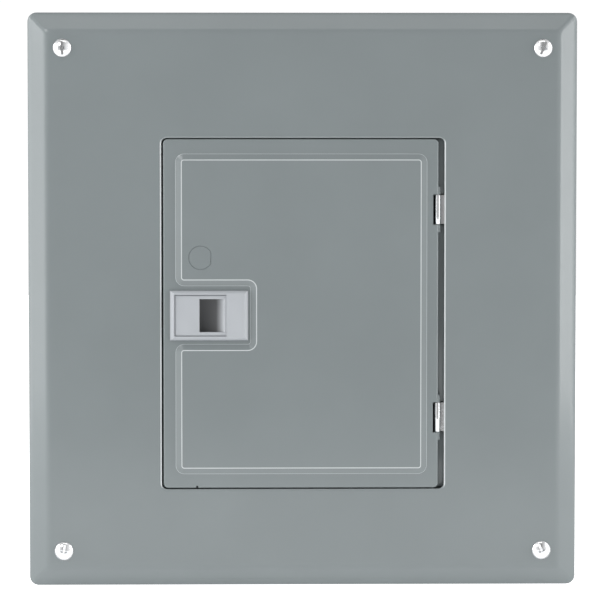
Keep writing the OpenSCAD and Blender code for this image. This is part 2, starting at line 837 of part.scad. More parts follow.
module door() {
    edge_out = front - door_edge;
    panel_out = front + panel_rise;
    color(enamel) difference() {
        union() {
            plate([edge_out, front]) round_rect([door_l, door_r], [door_lo, door_hi], door_r_corner);
            plate([front - tiny, panel_out]) panel_outline(0);
        }
        plate([edge_out - 1, door_back]) round_rect([door_l + door_t, door_r - door_t],
            [door_lo + door_t, door_hi - door_t], door_r_corner - door_t);
        plate([door_back - 1, panel_out - door_t]) panel_outline(door_t);
        for (z = [hinge_lo, hinge_hi]) {
            slab([notch_x, door_r + 1], [z - notch_half, z + notch_half], [edge_out - 1, front + 1]);
            slab([notch_x, door_r + 1], [z - notch_half - ear_len - 1, z + notch_half + ear_len + 1],
                [edge_out - 1, door_back]);
        }
        // Window behind the latch slider
        slab(window_x, window_z, [door_back - 1, front + 1]);
        for (p = latch_screw_spots) rod_out(1, [door_back - 1, front + 1], p);
        // Relief nick in the bottom edge
        slab([-75.9, -74.6], [door_lo - 1, door_lo + 1.6], [edge_out - 1, front + 1]);
        // Lock knockout: a scored ring with one flat side
        intersection() {
            plate([panel_out - lock_deep, panel_out + 1]) translate([lock_x, lock_z]) difference() {
                circle(lock_r);
                circle(lock_r - lock_line);
            }
            slab([lock_x - 10, lock_x + lock_flat], [lock_z - 10, lock_z + 10], [front, panel_out + 1]);
        }
        slab([lock_x + lock_flat - lock_line, lock_x + lock_flat], [lock_z - 4, lock_z + 4],
            [panel_out - lock_deep, panel_out + 1]);
    }
}

// Rolled barrel with a strap that runs under the cover to a welded foot
module hinge_barrels() {
    strap_t = 1;
    strap_back = hinge_out - barrel_r;
    riser = 103.2;
    color(zinc) for (z = [hinge_lo, hinge_hi]) {
        span = [z - barrel_len / 2, z + barrel_len / 2];
        difference() {
            union() {
                rod_z(barrel_r, span, [axis_x, hinge_out]);
                slab([axis_x, riser + strap_t], span, [strap_back, strap_back + strap_t]);
                slab([riser, riser + strap_t], span, [strap_back, tab_out]);
                slab([riser, df_x - 0.4], span, [tab_out - strap_t, tab_out]);
            }
            rod_z(pin_r + 0.07, [span[0] - 1, span[1] + 1], [axis_x, hinge_out]);
        }
    }
}

// Two ears above and below each barrel, on a plate behind the door
module hinge_brackets() {
    ear_r = 2.05;
    plate_t = 1;
    color(zinc) for (z = [hinge_lo, hinge_hi]) {
        ear = barrel_len / 2 + ear_gap;
        difference() {
            union() {
                slab([85, notch_x - 0.3], [z - ear - ear_len, z + ear + ear_len],
                    [door_back - plate_t, door_back]);
                for (s = [-1, 1]) {
                    low = z + s * (ear + ear_len / 2) - ear_len / 2;
                    rod_z(ear_r, [low, low + ear_len], [axis_x, hinge_out]);
                    slab([notch_x - 0.4, axis_x], [low, low + ear_len],
                        [door_back - plate_t, door_back - 0.05]);
                }
            }
            rod_z(pin_r, [z - ear - ear_len - 1, z + ear + ear_len + 1], [axis_x, hinge_out]);
        }
    }
}

module hinge_pins() {
    reach = barrel_len / 2 + ear_gap + ear_len;
    color(steel) for (z = [hinge_lo, hinge_hi])
        rod_z(pin_r, [z - reach, z + reach], [axis_x, hinge_out]);
}

module directory_card() {
    back = front + panel_rise - door_t;
    color(card) slab([-24, 78], [-112, 90], [back - 0.4, back]);
}

// ---- Latch ----

bezel_out = front + 3.6;
bezel_x = -66.6;
tray_top = front + 0.8;
slider_out = [tray_top + 0.4, tray_top + 2];
seam_x = -54.3;
tray = [bezel_x - 24.4, bezel_x + 24.4];
tongue_out = [front - 8.9, front - 6.7];
keeper_out = front - 11.7;
latch_screw_spots = [for (x = [-86, -49], s = [-1, 1]) [x, latch_z + 15.9 * s]];

module latch_bezel() {
    base = front + 1;
    slope = bezel_out - base;
    left = bezel_x - bezel_w / 2;
    right = bezel_x + bezel_w / 2;
    low = latch_z - bezel_h / 2;
    high = latch_z + bezel_h / 2;
    tray_z = 14.7;
    color(grey_plastic) difference() {
        intersection() {
            bar_z([low, high]) polygon([[left, front], [right, front], [right, base],
                [right - slope, bezel_out], [left + slope, bezel_out], [left, base]]);
            bar_x([left, right]) polygon([[low, front], [high, front], [high, base],
                [high - 0.75 * slope, bezel_out], [low + 0.75 * slope, bezel_out], [low, base]]);
        }
        // Tray that the slider runs in, open at the front up to the fixed roof on the right
        slab([tray[0], tray[1]], [latch_z - tray_z, latch_z + tray_z],
            [tray_top, slider_out[1] + 0.2]);
        slab([tray[0], seam_x], [latch_z - tray_z, latch_z + tray_z], [tray_top, bezel_out + 1]);
        slab(window_x, window_z, [front - 1, tray_top + 1]);
        for (p = latch_screw_spots) rod_out(0.9, [front - 1, front + 1.6], p);
    }
}

// Thumb slider with its scoop in front and the bolt tongue behind the door
module latch_slider() {
    scoop_r = 22;
    scoop_deep = 6;
    scoop_x = -70.5;
    bowl_back = front - 5.3;
    slot = [-86, -67.5];
    tongue_half = 9;
    color(grey_plastic) difference() {
        union() {
            slab([tray[0] + 0.4, seam_x + 0.9], [latch_z - 14.3, latch_z + 14.3], slider_out);
            slab([bowl_left, bowl_right], [latch_z - 12.95, latch_z + 12.95],
                [bowl_back, slider_out[0] + 0.1]);
            slab([bowl_left + 1.6, bowl_right - 1.6], [latch_z - tongue_half, latch_z + tongue_half],
                [tongue_out[1] - 0.1, bowl_back + 0.1]);
            slab([-104.3, bowl_right - 1.6], [latch_z - tongue_half, latch_z + tongue_half], tongue_out);
        }
        intersection() {
            rod_z(scoop_r, [latch_z - bowl_half_h, latch_z + bowl_half_h],
                [scoop_x, slider_out[1] - scoop_deep + scoop_r]);
            slab([bowl_x - bowl_half_w, bowl_x + bowl_half_w],
                [latch_z - bowl_half_h, latch_z + bowl_half_h], [bowl_back, slider_out[1] + 1]);
        }
        slab(slot, [latch_z - 3, latch_z + 3], [tongue_out[0] - 1, tongue_out[1] + 1.1]);
    }
}

// Steel channel that holds the slider in from behind, with a post for the spring
module latch_keeper() {
    t = 1.2;
    span = [-92, -44];
    color(zinc) difference() {
        union() {
            slab(span, [latch_z - 14.4, latch_z + 14.4], [keeper_out, keeper_out + t]);
            for (s = [-1, 1]) {
                wall = latch_z + s * 13.8;
                slab(span, [wall - t / 2, wall + t / 2], [keeper_out, door_back]);
                foot = latch_z + s * 15.7;
                slab(span, [foot - 1.9, foot + 1.9], [door_back - t, door_back]);
            }
            slab([-70, -68], [latch_z - 2.4, latch_z + 2.4], [keeper_out, tongue_out[1]]);
        }
        for (p = latch_screw_spots) rod_out(1, [door_back - t - 1, door_back + 1], p);
    }
}

module latch_screws() {
    color(steel) for (p = latch_screw_spots) {
        rod_out(0.9, [door_back - 1.2, front + 1.5], p);
        rod_out(1.4, [door_back - 2.4, door_back - 1.2], p);
    }
}

// Coil spring between the slider's slot and the keeper's post
module latch_spring() {
    turns = 7;
    steps = 14;
    sides = 6;
    coil_r = 1.75;
    wire_r = 0.25;
    x0 = -85.7;
    span = 15.4;
    count = turns * steps;
    mid_y = -(tongue_out[0] + tongue_out[1]) / 2;
    // Point k of the wire's ring i
    function ring_point(i, k) =
        let (a = 360 * i / steps, b = 360 * k / sides, r = coil_r + wire_r * cos(b))
        [x0 + span * i / count + wire_r * sin(b), mid_y + r * cos(a), latch_z + r * sin(a)];
    points = [for (i = [0 : count], k = [0 : sides - 1]) ring_point(i, k)];
    walls = [for (i = [0 : count - 1], k = [0 : sides - 1])
        [i * sides + k, i * sides + (k + 1) % sides, (i + 1) * sides + (k + 1) % sides,
            (i + 1) * sides + k]];
    first = [for (k = [sides - 1 : -1 : 0]) k];
    last = [for (k = [0 : sides - 1]) count * sides + k];
    color(steel) polyhedron(points, concat(walls, [first, last]));
}

box_wrapper();
end_wall_top();
end_wall_bottom();
cover();
cover_screws();
dead_front();
dead_front_studs();
filler_plate();
interior_pan();
pan_screws();
bus_insulator();
bus_bar_a();
bus_bar_b();
bus_screws();
neutral_bar_left();
neutral_bar_right();
neutral_strap();
neutral_supports();
neutral_screws();
neutral_lug();
bonding_screw();
ground_bar();
ground_screws();
main_case();
main_handle();
main_lugs();
lug_screws();
line_jaws();
load_clamps();
load_screws();
breaker_case_1();
breaker_case_2();
breaker_case_3();
breaker_case_4();
breaker_case_5();
breaker_case_6();
breaker_case_7();
breaker_case_8();
breaker_case_9();
breaker_handle_1();
breaker_handle_2();
breaker_handle_3();
breaker_handle_4();
breaker_handle_5();
breaker_handle_6();
breaker_handle_7();
breaker_handle_8();
breaker_handle_9();
door();
hinge_barrels();
hinge_brackets();
hinge_pins();
directory_card();
latch_bezel();
latch_slider();
latch_keeper();
latch_spring();
latch_screws();
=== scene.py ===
"""Looks of the residential load center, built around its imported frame.

Lengths are metres. X is to the right, Z is up and the wall is behind, at Y = 0. A distance called out
is measured forward from the wall, so out = 0.01 is the plane Y = -0.01.
"""

import json
import math

import bmesh
import bpy
from mathutils import Matrix, Vector
from mathutils.geometry import tessellate_polygon


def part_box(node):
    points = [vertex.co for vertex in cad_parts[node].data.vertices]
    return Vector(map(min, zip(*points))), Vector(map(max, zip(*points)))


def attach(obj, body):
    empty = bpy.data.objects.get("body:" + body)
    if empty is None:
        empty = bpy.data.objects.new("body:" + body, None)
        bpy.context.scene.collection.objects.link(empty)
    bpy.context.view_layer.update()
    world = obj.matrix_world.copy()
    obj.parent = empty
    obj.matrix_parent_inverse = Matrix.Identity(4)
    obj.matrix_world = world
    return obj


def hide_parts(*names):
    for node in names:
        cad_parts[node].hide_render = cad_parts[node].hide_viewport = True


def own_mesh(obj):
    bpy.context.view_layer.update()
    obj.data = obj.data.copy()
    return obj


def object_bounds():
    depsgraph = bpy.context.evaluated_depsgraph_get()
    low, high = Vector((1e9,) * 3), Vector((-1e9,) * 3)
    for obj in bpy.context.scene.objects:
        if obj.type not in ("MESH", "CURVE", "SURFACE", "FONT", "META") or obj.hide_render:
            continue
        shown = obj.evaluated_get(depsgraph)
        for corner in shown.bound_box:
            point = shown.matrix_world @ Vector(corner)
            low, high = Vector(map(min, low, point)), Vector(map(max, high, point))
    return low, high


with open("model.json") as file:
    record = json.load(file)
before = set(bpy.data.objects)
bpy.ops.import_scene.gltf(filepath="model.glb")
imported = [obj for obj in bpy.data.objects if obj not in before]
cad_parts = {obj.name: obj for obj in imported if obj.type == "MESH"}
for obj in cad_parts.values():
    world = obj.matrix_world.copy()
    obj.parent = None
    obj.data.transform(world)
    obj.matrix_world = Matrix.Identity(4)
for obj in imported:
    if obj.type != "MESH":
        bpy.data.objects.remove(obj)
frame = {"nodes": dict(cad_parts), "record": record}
cad_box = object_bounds()

MM = 0.001
NODES = frame["nodes"]
SLOT_OF = {row["node"]: row["material_slot"] for row in frame["record"]["subparts"]}
BODY_OF = {node: body for body, nodes in frame["record"]["behaviour"]["bodies"].items() for node in nodes}


# ---- Materials ----


class Nodes:
    """A material's node tree, with short calls for the nodes that the finishes share."""

    def __init__(self, name):
        self.material = bpy.data.materials.new(name)
        self.material.use_nodes = True
        self.tree = self.material.node_tree
        self.shader = self.tree.nodes["Principled BSDF"]
        self.place = self.add("ShaderNodeTexCoord").outputs["Object"]

    def add(self, kind, **values):
        node = self.tree.nodes.new(kind)
        for key, value in values.items():
            setattr(node, key, value)
        return node

    def link(self, source, target):
        self.tree.links.new(source, target)

    def set(self, **values):
        for key, value in values.items():
            self.shader.inputs[key.replace("_", " ")].default_value = value

    def stretched(self, scale):
        """Object coordinates multiplied along X, Y and Z."""
        node = self.add("ShaderNodeMapping")
        node.inputs["Scale"].default_value = scale
        self.link(self.place, node.inputs["Vector"])
        return node.outputs["Vector"]

    def noise(self, scale, detail=2.0, rough=0.5, stretch=None):
        node = self.add("ShaderNodeTexNoise")
        node.inputs["Scale"].default_value = scale
        node.inputs["Detail"].default_value = detail
        node.inputs["Roughness"].default_value = rough
        self.link(self.stretched(stretch) if stretch else self.place, node.inputs["Vector"])
        return node.outputs["Fac"]

    def cells(self, scale, stretch=None):
        """One random grey per cell of a Voronoi pattern."""
        node = self.add("ShaderNodeTexVoronoi")
        node.inputs["Scale"].default_value = scale
        self.link(self.stretched(stretch) if stretch else self.place, node.inputs["Vector"])
        split = self.add("ShaderNodeSeparateColor")
        self.link(node.outputs["Color"], split.inputs["Color"])
        return split.outputs["Red"]

    def span(self, source, low, high, start=0.3, end=0.7):
        """source between start and end, mapped to low and high."""
        node = self.add("ShaderNodeMapRange")
        for key, value in zip(("From Min", "From Max", "To Min", "To Max"), (start, end, low, high)):
            node.inputs[key].default_value = value
        self.link(source, node.inputs["Value"])
        return node.outputs["Result"]

    def ramp(self, source, low, high, start=0.3, end=0.7):
        """source between start and end, as a colour from low to high."""
        node = self.add("ShaderNodeValToRGB")
        for element, place, colour in zip(node.color_ramp.elements, (start, end), (low, high)):
            element.position = place
            element.color = (*colour, 1)
        self.link(source, node.inputs["Fac"])
        return node.outputs["Color"]

    def tint(self, base, source, spread):
        """base colour, darker and lighter by the share spread as source runs from 0.3 to 0.7."""
        low = tuple(c * (1 - spread) for c in base)
        high = tuple(min(1, c * (1 + spread)) for c in base)
        self.link(self.ramp(source, low, high), self.shader.inputs["Base Color"])

    def sum(self, first, second, share):
        node = self.add("ShaderNodeMath", operation="MULTIPLY_ADD")
        self.link(second, node.inputs[0])
        node.inputs[1].default_value = share
        self.link(first, node.inputs[2])
        return node.outputs["Value"]

    def bump(self, source, height, strength=1.0):
        node = self.add("ShaderNodeBump")
        node.inputs["Distance"].default_value = height
        node.inputs["Strength"].default_value = strength
        self.link(source, node.inputs["Height"])
        self.link(node.outputs["Normal"], self.shader.inputs["Normal"])

    def paint_highlight(self, attribute, colour):
        """Mixes colour into the base colour by a value that the mesh carries, to paint highlights."""
        here = self.add("ShaderNodeAttribute", attribute_name=attribute)
        mix = self.add("ShaderNodeMix", data_type="RGBA")
        base = self.shader.inputs["Base Color"]
        self.link(here.outputs["Fac"], mix.inputs["Factor"])
        self.link(base.links[0].from_socket, mix.inputs[6])
        mix.inputs[7].default_value = (*colour, 1)
        self.link(mix.outputs[2], base)

    def paint_recess_shade(self, deep, unshaded_out, share):
        """Painted shade: the base colour falls to a share of itself with depth, from full at the outer
        distance out to share at the deeper one, so hollows look shaded.
        """
        split = self.add("ShaderNodeSeparateXYZ")
        self.link(self.place, split.inputs["Vector"])
        clear = self.span(split.outputs["Y"], 1.0, share, -unshaded_out, -deep)
        mix = self.add("ShaderNodeMix", data_type="RGBA", blend_type="MULTIPLY")
        mix.inputs["Factor"].default_value = 1
        base = self.shader.inputs["Base Color"]
        self.link(base.links[0].from_socket, mix.inputs[6])
        self.link(clear, mix.inputs[7])
        self.link(mix.outputs[2], base)

    def rough(self, source, low, high):
        self.link(self.span(source, low, high), self.shader.inputs["Roughness"])


def grey_enamel(n):
    """Baked powder enamel: a satin skin with a fine orange peel."""
    n.tint((0.205, 0.232, 0.238), n.noise(14, 3), 0.025)
    # Painted highlight: the enamel is lighter along the bends that the mesh marks, where the lamps would
    # glint.
    n.paint_highlight("painted_highlight", (0.66, 0.69, 0.70))
    n.rough(n.noise(60, 3), 0.16, 0.20)
    n.bump(n.sum(n.noise(420, 2), n.noise(1500, 1), 0.3), 0.02 * MM, 0.6)


def galvanised(n):
    """Hot-dipped sheet with zinc spangle."""
    spangle = n.cells(85)
    n.tint((0.50, 0.52, 0.53), n.sum(spangle, n.noise(300, 3), 0.3), 0.16)
    n.rough(spangle, 0.34, 0.5)
    n.bump(n.noise(700, 2), 0.01 * MM, 0.4)
    n.set(Metallic=0.85)


def zinc_plate(n):
    n.tint((0.80, 0.81, 0.82), n.noise(500, 3), 0.05)
    n.rough(n.noise(900, 2), 0.08, 0.14)
    n.bump(n.noise(1400, 2), 0.006 * MM, 0.4)
    n.set(Metallic=1.0)


def plain_steel(n):
    n.tint((0.50, 0.50, 0.51), n.noise(400, 3), 0.08)
    n.rough(n.noise(700, 2), 0.28, 0.4)
    n.bump(n.noise(2200, 2), 0.01 * MM, 0.4)
    n.set(Metallic=1.0)


def tinned(n):
    """Tin plate over drawn aluminium, with faint draw lines along Z."""
    lines = n.noise(900, 2, stretch=(1, 1, 0.02))
    n.tint((0.66, 0.66, 0.64), n.sum(lines, n.noise(120, 2), 0.5), 0.07)
    n.rough(lines, 0.3, 0.42)
    n.bump(lines, 0.008 * MM, 0.5)
    n.set(Metallic=1.0)


def black_moulding(n):
    """Glass-filled phenolic, fine-grained and slightly chalky."""
    grain = n.noise(1800, 4, 0.65)
    n.tint((0.026, 0.027, 0.029), grain, 0.22)
    n.rough(n.noise(220, 3), 0.42, 0.56)
    n.bump(grain, 0.02 * MM, 0.5)


def handle_black(n):
    grain = n.noise(2600, 3)
    n.tint((0.016, 0.016, 0.018), grain, 0.15)
    n.rough(n.noise(260, 3), 0.3, 0.42)
    n.bump(grain, 0.01 * MM, 0.4)


def copper(n):
    n.tint((0.72, 0.36, 0.22), n.noise(300, 4), 0.12)
    n.rough(n.noise(500, 2), 0.25, 0.4)
    n.set(Metallic=1.0)


def grey_moulding(n):
    """Light grey moulded plastic with a spark-eroded grain."""
    grain = n.noise(2200, 3, 0.6)
    n.tint((0.40, 0.42, 0.445), n.sum(grain, n.noise(30, 2), 0.5), 0.03)
    # Painted shade: the moulding darkens from 98.4 mm out to a share of 0.12 at 95 mm and deeper, so the
    # thumb scoop looks shaded.
    n.paint_recess_shade(95.0 * MM, 98.4 * MM, 0.12)
    n.rough(n.noise(150, 2), 0.36, 0.44)
    n.bump(grain, 0.012 * MM, 0.5)


def paper_card(n):
    fibre = n.noise(900, 5, 0.7)
    n.tint((0.80, 0.79, 0.74), fibre, 0.03)
    n.bump(fibre, 0.02 * MM, 0.4)
    n.set(Roughness=0.8)


def green_enamel(n):
    n.tint((0.02, 0.22, 0.07), n.noise(800, 2), 0.1)
    n.rough(n.noise(600, 2), 0.22, 0.3)
    n.set(Metallic=0.6)


FINISHES = [grey_enamel, galvanised, zinc_plate, plain_steel, tinned, black_moulding, handle_black,
            copper, grey_moulding, paper_card, green_enamel]


def make_material(finish):
    nodes = Nodes(finish.__name__)
    finish(nodes)
    return nodes.material


MATERIALS = {finish.__name__: make_material(finish) for finish in FINISHES}


# ---- Mesh helpers ----


def make_object(name, mesh):
    obj = bpy.data.objects.new(name, mesh)
    bpy.context.scene.collection.objects.link(obj)
    return obj


def from_bmesh(name, bm):
    mesh = bpy.data.meshes.new(name)
    bm.to_mesh(mesh)
    bm.free()
    return make_object(name, mesh)


def settle(obj):
    """Turns an object's modifiers into its mesh."""
    graph = bpy.context.evaluated_depsgraph_get()
    mesh = bpy.data.meshes.new_from_object(obj.evaluated_get(graph))
    obj.modifiers.clear()
    obj.data = mesh


def smooth(obj, degrees=32):
    """Smooth shading, except over edges sharper than degrees."""
    obj.data.shade_smooth()
    obj.data.set_sharp_from_angle(angle=math.radians(degrees))


def place(obj, node, *others, slot=None):
    """obj stands for a CAD node, and for others on the same body, in its place and finish."""
    slot = slot or SLOT_OF[node]
    obj.data.materials.clear()
    obj.data.materials.append(MATERIALS[slot])
    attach(obj, BODY_OF[node])
    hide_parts(node, *others)
    return obj


def rectangle(x0, x1, z0, z1):
    return [(x0, z0), (x1, z0), (x1, z1), (x0, z1)]


def outline(corners, radius, inset=0.0, steps=8, least=0.3 * MM):
    """Points round a shape with square corners, anticlockwise from the front, each corner rounded.
    inset moves every side inwards: outer corners get tighter and inner ones wider."""
    points = []
    corners = [Vector(c) for c in corners]
    for i, here in enumerate(corners):
        along = (here - corners[i - 1]).normalized()
        onward = (corners[(i + 1) % len(corners)] - here).normalized()
        turn = 1 if along.cross(onward) > 0 else -1
        inward, inward_next = Vector((-along.y, along.x)), Vector((-onward.y, onward.x))
        r = max(radius - turn * inset, least)
        centre = here + (inward + inward_next) * (inset + turn * r)
        for k in range(steps + 1):
            a = math.pi / 2 * k / steps
            points.append(centre - (inward * math.cos(a) + inward_next * math.sin(a)) * turn * r)
    return points


class Sheet:
    """Sheet metal seen from its front, grown from closed outlines: rings of quads and flat fills."""

    def __init__(self):
        self.points = []
        self.faces = []
        # Strength of the painted highlight at each point
        self.painted_highlight = []

    def loop(self, shape, out, painted_highlight=0.0):
        """Adds an outline at a distance out. The last argument is the strength of a painted highlight on
        the enamel there, drawn along bends that would catch the side lamps. Both are numbers or functions
        of X and Z."""
        first = len(self.points)
        for x, z in shape:
            self.points.append((x, -(out(x, z) if callable(out) else out), z))
            self.painted_highlight.append(painted_highlight(x, z) if callable(painted_highlight) else painted_highlight)
        return list(range(first, len(self.points)))

    def strip(self, outer, inner):
        for i in range(len(outer)):
            self.faces.append((outer[i - 1], outer[i], inner[i], inner[i - 1]))

    def strips(self, loops):
        for outer, inner in zip(loops, loops[1:]):
            self.strip(outer, inner)

    def fill(self, outer, *holes):
        """Closes a flat region between an outline and the holes in it."""
        rings = [outer, *holes]
        order = [k for ring in rings for k in ring]
        flat = [[Vector((self.points[k][0], self.points[k][2], 0)) for k in ring] for ring in rings]
        spots = [p for ring in flat for p in ring]
        for a, b, c in tessellate_polygon(flat):
            face = (a, b, c) if (spots[b] - spots[a]).cross(spots[c] - spots[a]).z > 0 else (a, c, b)
            self.faces.append(tuple(order[k] for k in face))

    def build(self, name, thick):
        """The sheet with its thickness behind it."""
        mesh = bpy.data.meshes.new(name)
        mesh.from_pydata(self.points, [], self.faces)
        # Each point's painted highlight strength goes on the mesh, for the enamel to read.
        mesh.attributes.new("painted_highlight", "FLOAT", "POINT").data.foreach_set("value", self.painted_highlight)
        obj = make_object(name, mesh)
        solid = obj.modifiers.new("thick", "SOLIDIFY")
        solid.thickness = thick
        solid.offset = -1
        solid.use_even_offset = True
        solid.use_quality_normals = True
        settle(obj)
        return obj


def block(bm, low, high):
    """A box between two corners, for cutting."""
    size = [h - l for l, h in zip(low, high)]
    middle = [(h + l) / 2 for l, h in zip(low, high)]
    bmesh.ops.create_cube(bm, size=1, matrix=Matrix.LocRotScale(Vector(middle), None, Vector(size)))


def cut(obj, bm, crossing=False):
    """Takes the shapes in bm out of obj. crossing says that they pass through one another."""
    cutter = from_bmesh("cutter", bm)
    boolean = obj.modifiers.new("cut", "BOOLEAN")
    boolean.object = cutter
    boolean.solver = "EXACT"
    boolean.use_self = crossing
    settle(obj)
    bpy.data.objects.remove(cutter)


def join(obj, other):
    """Adds another object's mesh to obj."""
    bm = bmesh.new()
    bm.from_mesh(obj.data)
    bm.from_mesh(other.data)
    bm.to_mesh(obj.data)
    bm.free()
    bpy.data.objects.remove(other)


def soften(bm, width, degrees=30, segments=2):
    """Rounds every edge sharper than degrees."""
    edges = [e for e in bm.edges if len(e.link_faces) == 2 and e.calc_face_angle(0) > math.radians(degrees)]
    bmesh.ops.bevel(bm, geom=edges, offset=width, offset_type="OFFSET", segments=segments,
                    profile=0.5, affect="EDGES", clamp_overlap=True)


def refine(node, width=0.25 * MM, segments=2):
    """A piece with a CAD node's own shape and its edges rounded."""
    bm = bmesh.new()
    bm.from_mesh(NODES[node].data)
    bmesh.ops.remove_doubles(bm, verts=bm.verts, dist=1e-6)
    bmesh.ops.dissolve_limit(bm, angle_limit=math.radians(1), verts=bm.verts, edges=bm.edges)
    soften(bm, width, segments=segments)
    obj = from_bmesh("fine_" + node, bm)
    smooth(obj)
    return place(obj, node)


# ---- Cover ----

FRONT = 96.3 * MM


class Bevel:
    """Height of the cover's front, from its distances to the sides: flat, a bend, a slope, a rim bend."""

    run = 13.5 * MM
    drop = 11 * MM
    bend = 7.5 * MM
    rim_bend = 2.2 * MM
    mitre = 4 * MM

    def __init__(self, low, high):
        self.low = low
        self.high = high
        self.front = -low.y
        self.angle = math.atan2(self.drop, self.run)
        self.reach = self.bend * math.tan(self.angle / 2)
        self.rim_run = self.rim_bend * (1 - math.sin(self.angle))

    def inland(self, x, z):
        """Distance in from the nearest side, rounded where two sides are as near."""
        across = min(x - self.low.x, self.high.x - x)
        up = min(z - self.low.z, self.high.z - z)
        near = max(self.mitre - abs(across - up), 0) / self.mitre
        return min(across, up) - near * near * self.mitre / 4

    def slope(self, d):
        start = self.run - self.reach * math.cos(self.angle)
        if d <= start:
            return self.front - (self.run - d) * math.tan(self.angle)
        if d >= self.run + self.reach:
            return self.front
        along = self.run + self.reach - d
        return self.front - self.bend + math.sqrt(self.bend ** 2 - along ** 2)

    def rounding(self, d):
        """How far the rim's bend falls under the slope, at a distance d in from the outline."""
        if d >= self.rim_run:
            return 0.0
        tangent = self.rim_bend * math.cos(self.angle) - (self.rim_run - d) * math.tan(self.angle)
        return tangent - math.sqrt(max(self.rim_bend ** 2 - (self.rim_bend - d) ** 2, 0))

    def at(self, d):
        return lambda x, z: self.slope(self.inland(x, z)) - self.rounding(d)


BARREL_LEN = 20.6 * MM


def hinge_heights():
    """Heights of the middles of the two hinge barrels."""
    low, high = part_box("hinge_barrels")
    return low.z + BARREL_LEN / 2, high.z - BARREL_LEN / 2


def door_opening():
    """Sides of the opening in the cover, from the door that fills it."""
    low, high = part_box("door")
    left_gap, hinge_gap = 1.2 * MM, 4.3 * MM
    bottom_gap, top_gap = 0.8 * MM, 0.7 * MM
    return low.x - left_gap, high.x + hinge_gap, low.z - bottom_gap, high.z + top_gap


def make_cover():
    low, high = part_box("cover")
    thick = 1.3 * MM
    bevel = Bevel(low, high)
    rim = rectangle(low.x, high.x, low.z, high.z)
    rim_radius = 6.5 * MM
    least_radius = 2.5 * MM
    rim_steps = 6
    slope_steps = 6
    bend_steps = 8
    sheet = Sheet()
    loops = [sheet.loop(outline(rim, rim_radius), -high.y)]
    insets = [bevel.rim_run * (1 - math.cos(math.pi / 2 * k / rim_steps)) for k in range(rim_steps + 1)]
    first, last = bevel.run - bevel.reach, bevel.run + bevel.reach
    insets += [bevel.rim_run + (first - bevel.rim_run) * k / slope_steps for k in range(1, slope_steps)]
    insets += [first + (last - first) * k / bend_steps for k in range(bend_steps + 1)]
    # Two more outlines on the flat front keep its shading off the bend
    insets += [last + 1 * MM, last + 2.5 * MM]
    for inset in insets:
        shape = outline(rim, rim_radius, inset, least=least_radius)
        loops.append(sheet.loop(shape, bevel.at(inset)))
    sheet.strips(loops)
    opening = rectangle(*door_opening())
    corner = 4 * MM
    roll = 1.1 * MM
    lip_depth = 6.3 * MM
    roll_steps = 6

    flat_margin = 0.6 * MM

    def side_glint(x):
        """Strength of the painted highlight on the rolled edge: 1 at the sides of the opening, where the
        side lamps glint, and little at its top and bottom.
        """
        return 1 if x < opening[0][0] or x > opening[1][0] else 0.12

    edge = [sheet.loop(outline(opening, corner, -roll - flat_margin), bevel.front)]
    for k in range(roll_steps + 1):
        a = math.pi / 2 * k / roll_steps
        shape = outline(opening, corner, -roll * (1 - math.sin(a)))
        out = bevel.front - roll * (1 - math.cos(a))
        # Painted highlight, strongest across the middle of the roll
        glint = min(1, 1.4 * math.sin(2 * a))
        edge.append(sheet.loop(shape, out, lambda x, z: glint * side_glint(x)))
    edge.append(sheet.loop(outline(opening, corner), bevel.front - lip_depth))
    sheet.strips(edge)
    sheet.fill(loops[-1], edge[0])
    obj = sheet.build("cover_skin", thick)
    join(obj, make_ledge(opening, bevel.front - lip_depth, thick))
    smooth(obj)
    return place(obj, "cover")


def make_ledge(opening, out, thick):
    """Strip behind the door's hinge side, with a gap at each hinge."""
    right, bottom, top = opening[1][0], opening[0][1], opening[2][1]
    width = 4.7 * MM
    end = 0.8 * MM
    gap = 11 * MM
    low_hinge, high_hinge = hinge_heights()
    bm = bmesh.new()
    for z0, z1 in ((bottom + end, low_hinge - gap), (low_hinge + gap, high_hinge - gap),
                   (high_hinge + gap, top - end)):
        block(bm, (right - width, -out, z0), (right + thick, -out + thick, z1))
    soften(bm, 0.25 * MM)
    return from_bmesh("ledge", bm)


# ---- Door ----


def pressed_step(rise):
    """Section of a pressed step, as (along, height) points: a bend, a straight slope, a bend."""
    foot, crest = 0.9 * MM, 0.9 * MM
    tilt = math.radians(26)
    bend_steps = 7
    angles = [tilt * k / bend_steps for k in range(bend_steps + 1)]
    points = [(foot * math.sin(a), foot * (1 - math.cos(a))) for a in angles]
    straight = (rise - (foot + crest) * (1 - math.cos(tilt))) / math.sin(tilt)
    along = points[-1][0] + straight * math.cos(tilt) + crest * math.sin(tilt)
    points += [(along - crest * math.sin(a), rise - crest * (1 - math.cos(a))) for a in reversed(angles)]
    return points


def door_rim(sheet):
    """The door's edge and the bend round its border. Returns the outline where the flat border starts."""
    low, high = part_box("door")
    corner = 3.2 * MM
    bend = 1.2 * MM
    bend_steps = 7
    flat_margin = 0.7 * MM
    rim = rectangle(low.x, high.x, low.z, high.z)
    loops = [sheet.loop(outline(rim, corner), -high.y)]
    for k in range(bend_steps + 1):
        a = math.pi / 2 * k / bend_steps
        shape = outline(rim, corner, bend * (1 - math.cos(a)))
        loops.append(sheet.loop(shape, FRONT - bend * (1 - math.sin(a))))
    loops.append(sheet.loop(outline(rim, corner, bend + flat_margin), FRONT))
    sheet.strips(loops)
    return loops[-1]


def panel_corners():
    """The raised panel, which steps in round the latch."""
    low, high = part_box("door")
    bezel_low, bezel_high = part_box("latch_bezel")
    left_border, right_border = 10.8 * MM, 10.1 * MM
    bottom_border, top_border = 12.1 * MM, 12.5 * MM
    beside, above, below = 3.6 * MM, 5.3 * MM, 4.8 * MM
    left, right = low.x + left_border, high.x - right_border
    bottom, top = low.z + bottom_border, high.z - top_border
    step_x = bezel_high.x + beside
    step_top, step_low = bezel_high.z + above, bezel_low.z - below
    return [(left, bottom), (right, bottom), (right, top), (left, top), (left, step_top),
            (step_x, step_top), (step_x, step_low), (left, step_low)]


